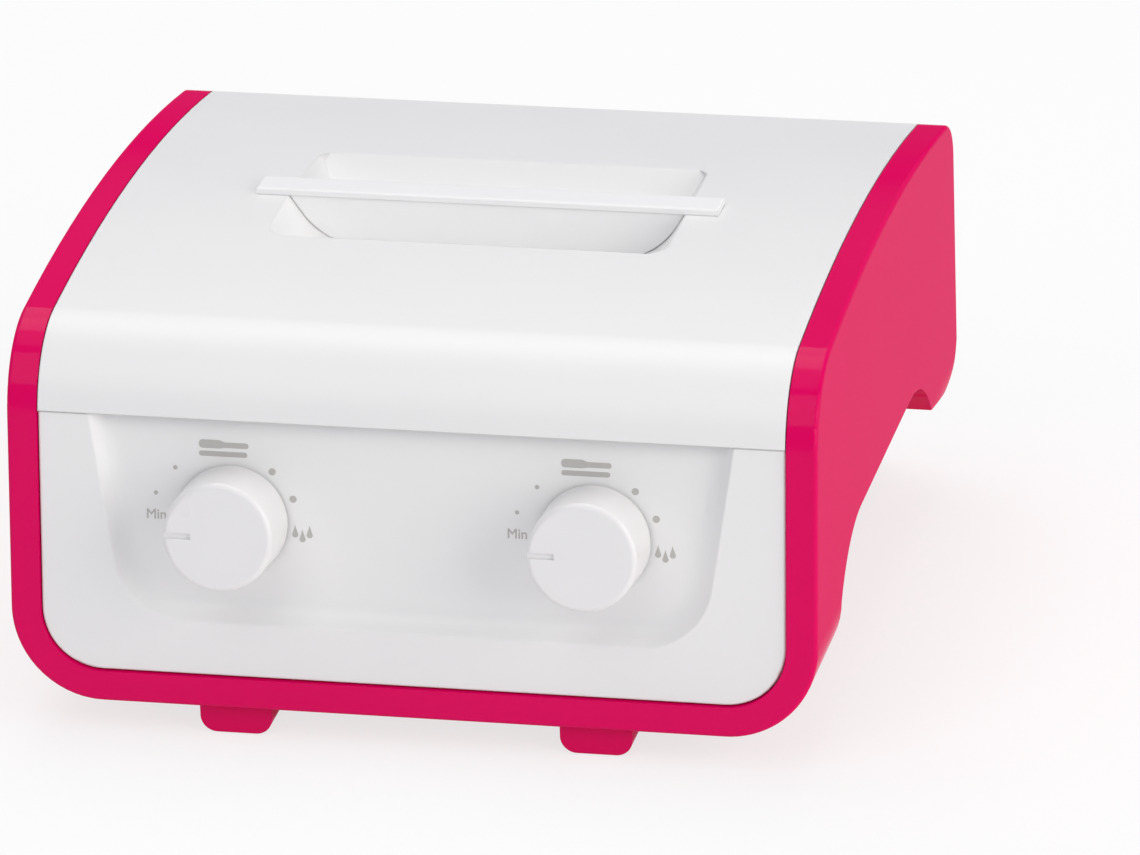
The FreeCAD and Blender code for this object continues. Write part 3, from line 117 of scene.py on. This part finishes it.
# Satin ABS: a spark-eroded tool leaves a fine grain, so reflections spread into soft bands. The
# white is neutral, with a faint drift where the melt flowed.
white_abs, tree = new_material("satin_white_abs")
place = add(tree, "ShaderNodeTexCoord").outputs["Object"]
flow = add(tree, "ShaderNodeTexNoise", {"Vector": place, "Scale": 1 / panel_flow, "Detail": 3.0})
grain = add(tree, "ShaderNodeTexNoise", {"Vector": place, "Scale": 1 / panel_grain, "Detail": 2.0})
tint = add(tree, "ShaderNodeMix", {"Factor": flow.outputs["Fac"], "A": linear("#ebebeb"),
                                   "B": linear("#eeeeed")}, data_type="RGBA")
gloss = add(tree, "ShaderNodeMapRange", {"Value": flow.outputs["Fac"], "To Min": 0.32,
                                         "To Max": 0.4})
edge = add(tree, "ShaderNodeBevel", {"Radius": panel_edge}, samples=4)
bump = add(tree, "ShaderNodeBump", {"Height": grain.outputs["Fac"], "Strength": 0.04,
                                    "Distance": 0.1 * mm, "Normal": edge.outputs["Normal"]})
shader = add(tree, "ShaderNodeBsdfPrincipled", {
    "Base Color": tint.outputs["Result"], "Roughness": gloss.outputs["Result"],
    "Normal": bump.outputs["Normal"], "IOR": 1.52})
add(tree, "ShaderNodeOutputMaterial", {"Surface": shader.outputs["BSDF"]})
dress(white_abs, "front_panel", "rear_panel")

# Dial marks. Grey ink, pad-printed on the dish floor round each dial: a stick and a spatula at the
# top, dots that grow with the heat, the lowest setting in letters and drops of melted wax at the
# highest. Places are in millimetres across and up from the dial's axis.
ink_film = 0.06 * mm
ink_patches = 0.5 * mm
weld = 0.001 * mm
heat_dots = ((-20.5, 18.0, 0.8), (-27.7, 8.4, 0.75), (14.5, 18.3, 1.3), (21.9, 8.7, 1.3))
drop_places = ((22.5, -4.2), (25.1, -5.8), (27.7, -4.2))
drop_radius = 1.1 * mm
drop_stretch = 3.4
stick_place = (-3.1, 23.8)
stick_length = 17.4 * mm
stick_width = 1.9 * mm
stick_rounding = 0.45 * stick_width
# the spatula's blade narrows to its handle on the right
spatula_outline = ((-11.8, 25.75), (-4.4, 25.75), (-2.4, 26.1), (6.1, 26.1),
                   (6.1, 28.1), (-2.4, 28.1), (-4.4, 28.85), (-11.8, 28.85))
blade_rounding = 1.3 * mm
handle_rounding = 0.9 * mm
letter_size = 5.0 * mm
letter_place = (-27.7, 0.4)
letter_spread = 0.08 * mm
joints = {joint["name"]: joint for joint in frame["joints"]}

# Pad-printed ink: a thin, matt grey film that the silicone pad leaves slightly uneven, in patches.
pad_ink, tree = new_material("grey_pad_printed_ink")
place = add(tree, "ShaderNodeTexCoord").outputs["Object"]
patches = add(tree, "ShaderNodeTexNoise", {"Vector": place, "Scale": 1 / ink_patches, "Detail": 2.0})
tint = add(tree, "ShaderNodeMix", {"Factor": patches.outputs["Fac"], "A": linear("#b6b4b0"),
                                   "B": linear("#c0beba")}, data_type="RGBA")
shader = add(tree, "ShaderNodeBsdfPrincipled", {"Base Color": tint.outputs["Result"],
                                                "Roughness": 0.45})
add(tree, "ShaderNodeOutputMaterial", {"Surface": shader.outputs["BSDF"]})


def lay(marks, verts, across, up):
    """Move flat marks from the dial's axis to their place, given in millimetres."""
    bmesh.ops.translate(marks, verts=verts, vec=(across * mm, up * mm, 0))


def round_corners(marks, corners, rounding):
    """Round corners of a flat mark."""
    bmesh.ops.bevel(marks, geom=corners, offset=rounding, segments=4, profile=0.5,
                    affect="VERTICES", material=-1)


def lowest_letters(side):
    """The letters of the lowest setting as a flat mesh, its outline moved out as the ink spreads."""
    letters = bpy.data.curves.new(f"{side}_lowest_letters", "FONT")
    letters.body = "Min"
    letters.size = letter_size
    letters.align_x = "CENTER"
    letters.align_y = "CENTER"
    written = bpy.data.objects.new(letters.name, letters)
    bpy.context.collection.objects.link(written)
    bpy.context.view_layer.update()
    mesh = bpy.data.meshes.new_from_object(
        written.evaluated_get(bpy.context.evaluated_depsgraph_get()))
    bpy.data.objects.remove(written)
    outline = bmesh.new()
    outline.from_mesh(mesh)
    lay(outline, outline.verts, *letter_place)
    bmesh.ops.remove_doubles(outline, verts=outline.verts, dist=weld)
    spreads = {vert: Vector() for vert in outline.verts}
    for line in outline.edges:
        if line.is_boundary:
            start, end = line.verts
            along = end.co - start.co
            out = Vector((along.y, -along.x, 0)).normalized()
            if out.dot(line.link_faces[0].calc_center_median() - start.co) > 0:
                out.negate()
            spreads[start] += out
            spreads[end] += out
    for vert, out in spreads.items():
        vert.co += out.normalized() * letter_spread
    outline.to_mesh(mesh)
    outline.free()
    return mesh


def print_marks(side):
    """Print one dial's marks as thin films on the dish floor, in the dial's own axes."""
    marks = bmesh.new()
    for across, up, radius in heat_dots:
        dot = bmesh.ops.create_circle(marks, cap_ends=True, segments=28, radius=radius * mm)
        lay(marks, dot["verts"], across, up)
    for across, up in drop_places:
        drop = bmesh.ops.create_circle(marks, cap_ends=True, segments=24, radius=drop_radius)
        # the upper half of the circle is drawn out to the drop's point
        for vert in drop["verts"]:
            if vert.co.y > 0:
                vert.co.x *= 1 - vert.co.y / drop_radius
                vert.co.y *= drop_stretch
        lay(marks, drop["verts"], across, up)
    stick = bmesh.ops.create_grid(marks, x_segments=1, y_segments=1, size=0.5)["verts"]
    bmesh.ops.scale(marks, verts=stick, vec=(stick_length, stick_width, 1))
    lay(marks, stick, *stick_place)
    round_corners(marks, stick, stick_rounding)
    spatula = [marks.verts.new((across * mm, up * mm, 0)) for across, up in spatula_outline]
    marks.faces.new(spatula)
    blade_end = spatula[:1] + spatula[-1:]
    handle_end = spatula[3:5]
    round_corners(marks, blade_end, blade_rounding)
    round_corners(marks, handle_end, handle_rounding)
    letters = lowest_letters(side)
    marks.from_mesh(letters)
    bpy.data.meshes.remove(letters)
    bmesh.ops.remove_doubles(marks, verts=marks.verts, dist=weld)
    bmesh.ops.recalc_face_normals(marks, faces=marks.faces)
    face_down = [face for face in marks.faces if face.normal.z < 0]
    bmesh.ops.reverse_faces(marks, faces=face_down)
    film = bmesh.ops.extrude_face_region(marks, geom=marks.faces[:])["geom"]
    film_top = [item for item in film if isinstance(item, bmesh.types.BMVert)]
    bmesh.ops.translate(marks, verts=film_top, vec=(0, 0, ink_film))
    joint = joints[f"{side}_dial_turn"]
    out_of_dish = -Vector(joint["axis"]).normalized()
    to_right = Vector((1, 0, 0))
    up_dish = out_of_dish.cross(to_right)
    turn = Matrix((to_right, up_dish, out_of_dish)).transposed().to_4x4()
    bmesh.ops.transform(marks, verts=marks.verts,
                        matrix=Matrix.Translation(Vector(joint["pos_m"])) @ turn)
    mesh = bpy.data.meshes.new(f"{side}_dial_marks")
    marks.to_mesh(mesh)
    marks.free()
    mesh.materials.append(pad_ink)
    piece = bpy.data.objects.new(mesh.name, mesh)
    bpy.context.collection.objects.link(piece)
    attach(piece, "housing")


for side in ("left", "right"):
    print_marks(side)

# Dials. Hollow white ABS knobs, each pushed on the flatted shaft of its thermostat, with a moulded
# pointer groove.
knob_flow = 20 * mm
# Polished ABS: the tool is smoother than the panel's and leaves no grain, so the taper shows a
# tighter highlight.
knob_abs, tree = new_material("polished_white_knob_abs")
place = add(tree, "ShaderNodeTexCoord").outputs["Object"]
flow = add(tree, "ShaderNodeTexNoise", {"Vector": place, "Scale": 1 / knob_flow, "Detail": 2.0})
tint = add(tree, "ShaderNodeMix", {"Factor": flow.outputs["Fac"], "A": linear("#e9e8e8"),
                                   "B": linear("#ecebeb")}, data_type="RGBA")
gloss = add(tree, "ShaderNodeMapRange", {"Value": flow.outputs["Fac"], "To Min": 0.25,
                                         "To Max": 0.33})
shader = add(tree, "ShaderNodeBsdfPrincipled", {
    "Base Color": tint.outputs["Result"], "Roughness": gloss.outputs["Result"], "IOR": 1.52})
add(tree, "ShaderNodeOutputMaterial", {"Surface": shader.outputs["BSDF"]})
dress(knob_abs, "left_knob", "right_knob")

# Lid. A white ABS cover that lifts off the deck, moulded with a finger scoop in its crown. It has
# the front panel's finish.
dress(white_abs, "lid")

# Grip bar. A separate white ABS moulding, a flat bar on a web that stands in the scoop. It is
# pinned through the lid, with push nuts below.
bar_flow = 30 * mm
bar_edge = 0.6 * mm
# Polished ABS, set a shade whiter than the lid's and with a slightly higher polish, so the bar stands
# out against the scoop.
bar_abs, tree = new_material("polished_white_bar_abs")
place = add(tree, "ShaderNodeTexCoord").outputs["Object"]
flow = add(tree, "ShaderNodeTexNoise", {"Vector": place, "Scale": 1 / bar_flow, "Detail": 2.0})
tint = add(tree, "ShaderNodeMix", {"Factor": flow.outputs["Fac"], "A": linear("#f4f4f4"),
                                   "B": linear("#f7f7f7")}, data_type="RGBA")
gloss = add(tree, "ShaderNodeMapRange", {"Value": flow.outputs["Fac"], "To Min": 0.28,
                                         "To Max": 0.36})
edge = add(tree, "ShaderNodeBevel", {"Radius": bar_edge}, samples=4)
shader = add(tree, "ShaderNodeBsdfPrincipled", {
    "Base Color": tint.outputs["Result"], "Roughness": gloss.outputs["Result"],
    "Normal": edge.outputs["Normal"], "IOR": 1.52})
add(tree, "ShaderNodeOutputMaterial", {"Surface": shader.outputs["BSDF"]})
dress(bar_abs, "lid_grip_bar")

# Deck. The pale moulded nylon plate under the lid that carries the wells. Its four posts are
# screwed to the casing's floor from below.
deck_fibres = 3 * mm
# Glass-filled nylon: fibres near the skin give it a cloudy mottle and a matt, slightly rough face.
deck_nylon, tree = new_material("glass_filled_nylon")
place = add(tree, "ShaderNodeTexCoord").outputs["Object"]
fibres = add(tree, "ShaderNodeTexNoise", {"Vector": place, "Scale": 1 / deck_fibres, "Detail": 4.0,
                                          "Distortion": 1.5})
tint = add(tree, "ShaderNodeMix", {"Factor": fibres.outputs["Fac"], "A": linear("#d3d1ca"),
                                   "B": linear("#e0ded8")}, data_type="RGBA")
bump = add(tree, "ShaderNodeBump", {"Height": fibres.outputs["Fac"], "Strength": 0.1,
                                    "Distance": 0.1 * mm})
shader = add(tree, "ShaderNodeBsdfPrincipled", {
    "Base Color": tint.outputs["Result"], "Roughness": 0.55, "Normal": bump.outputs["Normal"]})
add(tree, "ShaderNodeOutputMaterial", {"Surface": shader.outputs["BSDF"]})
dress(deck_nylon, "deck")

# Wells and pots. Spun aluminium cups: the wells hang in the deck by their flanges, and the pots
# lift out of them by their lugs.
well_low, well_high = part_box("right_well")
well_axis = (well_low + well_high) / 2
# the tool's rings are really 0.2 mm apart, drawn at 0.9 mm so that they show
ring_spacing = 0.9 * mm
# Spun aluminium: the spinning tool leaves fine rings round each cup's own axis, which break up the
# highlights. The two sides mirror each other, so the distance from the middle serves both axes.
spun_aluminium, tree = new_material("spun_aluminium")
place = add(tree, "ShaderNodeTexCoord").outputs["Object"]
split = add(tree, "ShaderNodeSeparateXYZ", {"Vector": place})
aside = add(tree, "ShaderNodeMath", {0: split.outputs["X"]}, operation="ABSOLUTE")
from_middle = add(tree, "ShaderNodeCombineXYZ", {"X": aside.outputs["Value"],
                                                 "Y": split.outputs["Y"]})
spoke = add(tree, "ShaderNodeVectorMath", {0: from_middle.outputs["Vector"],
                                           1: (well_axis.x, well_axis.y, 0)}, operation="SUBTRACT")
radius = add(tree, "ShaderNodeVectorMath", {0: spoke.outputs["Vector"]}, operation="LENGTH")
ring_at = add(tree, "ShaderNodeCombineXYZ", {"X": radius.outputs["Value"],
                                             "Z": split.outputs["Z"]})
rings = add(tree, "ShaderNodeTexNoise", {"Vector": ring_at.outputs["Vector"],
                                         "Scale": 1 / ring_spacing, "Detail": 3.0})
tint = add(tree, "ShaderNodeMix", {"Factor": rings.outputs["Fac"], "A": linear("#d6d7da"),
                                   "B": linear("#e1e2e3")}, data_type="RGBA")
gloss = add(tree, "ShaderNodeMapRange", {"Value": rings.outputs["Fac"], "To Min": 0.22,
                                         "To Max": 0.42})
bump = add(tree, "ShaderNodeBump", {"Height": rings.outputs["Fac"], "Strength": 0.25,
                                    "Distance": 0.1 * mm})
shader = add(tree, "ShaderNodeBsdfPrincipled", {
    "Base Color": tint.outputs["Result"], "Metallic": 1.0, "Roughness": gloss.outputs["Result"],
    "Normal": bump.outputs["Normal"]})
add(tree, "ShaderNodeOutputMaterial", {"Surface": shader.outputs["BSDF"]})
dress(spun_aluminium, "left_well", "right_well", "left_pot", "right_pot")

# Heaters and small metal pieces. Zinc-plated steel: the bands clamped round the wells by their
# screws, the shafts, nuts, push nuts, cut-outs and base screws.
spangle_size = 2.5 * mm
# Zinc plate: the zinc sets in spangles that are lighter and smoother in the middle.
zinc_steel, tree = new_material("zinc_plated_steel")
place = add(tree, "ShaderNodeTexCoord").outputs["Object"]
spangle = add(tree, "ShaderNodeTexVoronoi", {"Vector": place, "Scale": 1 / spangle_size})
tint = add(tree, "ShaderNodeMix", {"Factor": spangle.outputs["Distance"], "A": linear("#c2c4c8"),
                                   "B": linear("#aeb1b6")}, data_type="RGBA")
gloss = add(tree, "ShaderNodeMapRange", {"Value": spangle.outputs["Distance"], "To Min": 0.28,
                                         "To Max": 0.45})
shader = add(tree, "ShaderNodeBsdfPrincipled", {
    "Base Color": tint.outputs["Result"], "Metallic": 1.0, "Roughness": gloss.outputs["Result"]})
add(tree, "ShaderNodeOutputMaterial", {"Surface": shader.outputs["BSDF"]})
steel_pieces = [f"{side}_{piece}" for side in ("left", "right")
                for piece in ("band_heater", "clamp_screw", "thermal_cutout", "shaft")]
dress(zinc_steel, *steel_pieces, "bush_nuts", "bar_push_nuts", "base_screws")

# Sensors. Copper bulbs with thin capillary tubes, drawn and bent to shape. Each bulb stands in the
# gap of a band heater, and its tube runs forward to the thermostat.
stain_size = 6 * mm
# Drawn copper: heat has dulled the bright metal in browner stains.
copper, tree = new_material("drawn_copper")
place = add(tree, "ShaderNodeTexCoord").outputs["Object"]
stain = add(tree, "ShaderNodeTexNoise", {"Vector": place, "Scale": 1 / stain_size, "Detail": 4.0})
tint = add(tree, "ShaderNodeMix", {"Factor": stain.outputs["Fac"], "A": linear("#c98a66"),
                                   "B": linear("#a8674a")}, data_type="RGBA")
gloss = add(tree, "ShaderNodeMapRange", {"Value": stain.outputs["Fac"], "To Min": 0.25,
                                         "To Max": 0.5})
shader = add(tree, "ShaderNodeBsdfPrincipled", {
    "Base Color": tint.outputs["Result"], "Metallic": 1.0, "Roughness": gloss.outputs["Result"]})
add(tree, "ShaderNodeOutputMaterial", {"Surface": shader.outputs["BSDF"]})
dress(copper, "left_sensor", "right_sensor")

# Internal leads. Copper wires in silicone rubber that stands the heat, run from the terminal block
# to the cut-outs, thermostats and bands.
bloom_size = 4 * mm
# Silicone rubber: the extruded skin is matt, with a faint chalky bloom.
silicone, tree = new_material("silicone_lead_insulation")
place = add(tree, "ShaderNodeTexCoord").outputs["Object"]
bloom = add(tree, "ShaderNodeTexNoise", {"Vector": place, "Scale": 1 / bloom_size, "Detail": 3.0})
tint = add(tree, "ShaderNodeMix", {"Factor": bloom.outputs["Fac"], "A": linear("#8d2f27"),
                                   "B": linear("#a0463b")}, data_type="RGBA")
shader = add(tree, "ShaderNodeBsdfPrincipled", {"Base Color": tint.outputs["Result"],
                                                "Roughness": 0.6})
add(tree, "ShaderNodeOutputMaterial", {"Surface": shader.outputs["BSDF"]})
dress(silicone, "left_leads", "right_leads")

# Thermostats, terminal block and gland. Dark mouldings: the thermostats hang behind the dish by
# their bushes and nuts, the block stands on the floor, and the gland sits in the rear panel.
fleck_size = 0.8 * mm
# Phenolic: the filler shows as paler flecks in a matt, moulded skin.
phenolic, tree = new_material("dark_phenolic")
place = add(tree, "ShaderNodeTexCoord").outputs["Object"]
flecks = add(tree, "ShaderNodeTexNoise", {"Vector": place, "Scale": 1 / fleck_size, "Detail": 2.0})
tint = add(tree, "ShaderNodeMix", {"Factor": flecks.outputs["Fac"], "A": linear("#1c1b1b"),
                                   "B": linear("#2b2a29")}, data_type="RGBA")
gloss = add(tree, "ShaderNodeMapRange", {"Value": flecks.outputs["Fac"], "To Min": 0.42,
                                         "To Max": 0.58})
shader = add(tree, "ShaderNodeBsdfPrincipled", {"Base Color": tint.outputs["Result"],
                                                "Roughness": gloss.outputs["Result"]})
add(tree, "ShaderNodeOutputMaterial", {"Surface": shader.outputs["BSDF"]})
dress(phenolic, "left_thermostat", "right_thermostat", "terminal_block", "cord_gland")

# Foot pads. Round moulded rubber pads, pressed into seats in the casing's feet. They keep the
# heater from sliding.
dust_size = 2 * mm
# Rubber: a matt, nearly black skin, a little greyer where dust clings.
pad_rubber, tree = new_material("pad_rubber")
place = add(tree, "ShaderNodeTexCoord").outputs["Object"]
dust = add(tree, "ShaderNodeTexNoise", {"Vector": place, "Scale": 1 / dust_size, "Detail": 4.0})
tint = add(tree, "ShaderNodeMix", {"Factor": dust.outputs["Fac"], "A": linear("#2a2a2b"),
                                   "B": linear("#39383a")}, data_type="RGBA")
shader = add(tree, "ShaderNodeBsdfPrincipled", {"Base Color": tint.outputs["Result"],
                                                "Roughness": 0.8})
add(tree, "ShaderNodeOutputMaterial", {"Surface": shader.outputs["BSDF"]})
dress(pad_rubber, "foot_pads")

# Studio. A plain pale floor, four softboxes behind, above, in front and to the right, and an even
# pale surround.
floor_reach = 8
paper_share = 0.74
floor_mesh = bpy.data.meshes.new("studio_floor")
sweep = bmesh.new()
bmesh.ops.create_grid(sweep, x_segments=1, y_segments=1, size=floor_reach)
sweep.to_mesh(floor_mesh)
sweep.free()
floor = bpy.data.objects.new("studio_floor", floor_mesh)
bpy.context.collection.objects.link(floor)
# Matt paint: seen directly or in a reflection, the floor is mostly white paper, and the rest of it
# shows shadows.
floor_paint, tree = new_material("floor_paint")
paint = add(tree, "ShaderNodeBsdfPrincipled", {"Base Color": linear("#f8f8f8"), "Roughness": 0.9,
                                               "Specular IOR Level": 0.1})
glow = add(tree, "ShaderNodeEmission", {"Color": linear("#ffffff"), "Strength": 1.0})
rays = add(tree, "ShaderNodeLightPath")
direct = add(tree, "ShaderNodeMath", {0: rays.outputs["Is Camera Ray"],
                                      1: rays.outputs["Is Glossy Ray"]}, operation="MAXIMUM")
seen = add(tree, "ShaderNodeMath", {0: direct.outputs["Value"],
                                    1: rays.outputs["Is Transmission Ray"]}, operation="MAXIMUM")
share = add(tree, "ShaderNodeMath", {0: seen.outputs["Value"], 1: paper_share},
            operation="MULTIPLY")
blend = add(tree, "ShaderNodeMixShader", {"Fac": share.outputs["Value"], 1: paint.outputs["BSDF"],
                                          2: glow.outputs["Emission"]})
add(tree, "ShaderNodeOutputMaterial", {"Surface": blend.outputs["Shader"]})
floor_mesh.materials.append(floor_paint)

# each softbox has its place and side in metres and its power in watts
softboxes = (("rear_softbox", (-0.35, 1.35, 2.5), 1.9, 22),
             ("overhead_softbox", (-0.2, 0.4, 2.7), 2.2, 13),
             ("front_softbox", (-0.58, -2.0, 2.1), 1.9, 17),
             ("side_softbox", (2.75, -1.2, 1.15), 2.2, 49))
softbox_white = linear("#fffbf5")[:3]
softbox_aim = Vector((0, 0, 0.08))
for name, where, size, power in softboxes:
    lamp = bpy.data.lights.new(name, "AREA")
    lamp.shape = "SQUARE"
    lamp.size = size
    lamp.energy = power
    lamp.color = softbox_white
    light = bpy.data.objects.new(name, lamp)
    light.location = where
    to_heater = softbox_aim - Vector(where)
    light.rotation_euler = to_heater.to_track_quat("-Z", "Y").to_euler()
    bpy.context.collection.objects.link(light)

# the surround fills the shadows with an even, faintly cool light
world = bpy.data.worlds.new("pale_surround")
world.use_nodes = True
tree = world.node_tree
tree.nodes.clear()
surround = add(tree, "ShaderNodeBackground", {"Color": linear("#eef2ff"), "Strength": 0.43})
add(tree, "ShaderNodeOutputWorld", {"Surface": surround.outputs["Background"]})
scene = bpy.context.scene
scene.world = world
scene.view_settings.view_transform = "Standard"

# Camera. A long lens in front and a little to the right, looking down at the lid with a slight
# roll. Its angles, distance and shifts were fitted to the edges of the real heater.
turned = math.radians(12.78)
tilt = math.radians(22.63)
roll = math.radians(1.93)
distance = 3.6127
shift_right = -0.036921
shift_up = 0.0002283
# focal length and picture width in pixels of the fitted picture, sensor width in millimetres
focal_pixels = 10106
picture_pixels = 1140
sensor_width = 36
# the fit turns about a point 100 mm behind the casing's front bottom edge and 70 mm above it
front_edge = -0.136197
bottom_edge = 0.012
pivot = Vector((0, front_edge + 0.1, bottom_edge + 0.07))
ahead = Vector((-math.sin(turned) * math.cos(tilt), math.cos(turned) * math.cos(tilt),
                -math.sin(tilt)))
level_right = Vector((math.cos(turned), math.sin(turned), 0))
level_up = level_right.cross(ahead)
right = level_right * math.cos(roll) - level_up * math.sin(roll)
upward = level_right * math.sin(roll) + level_up * math.cos(roll)
spot = pivot - right * shift_right - upward * shift_up - ahead * distance
lens = bpy.data.cameras.new("view_camera")
lens.sensor_width = sensor_width
lens.lens = sensor_width * focal_pixels / picture_pixels
lens.clip_end = 50
camera = bpy.data.objects.new("view_camera", lens)
facing = Matrix((right, upward, -ahead)).transposed().to_4x4()
camera.matrix_world = Matrix.Translation(spot) @ facing
bpy.context.collection.objects.link(camera)
scene.camera = camera
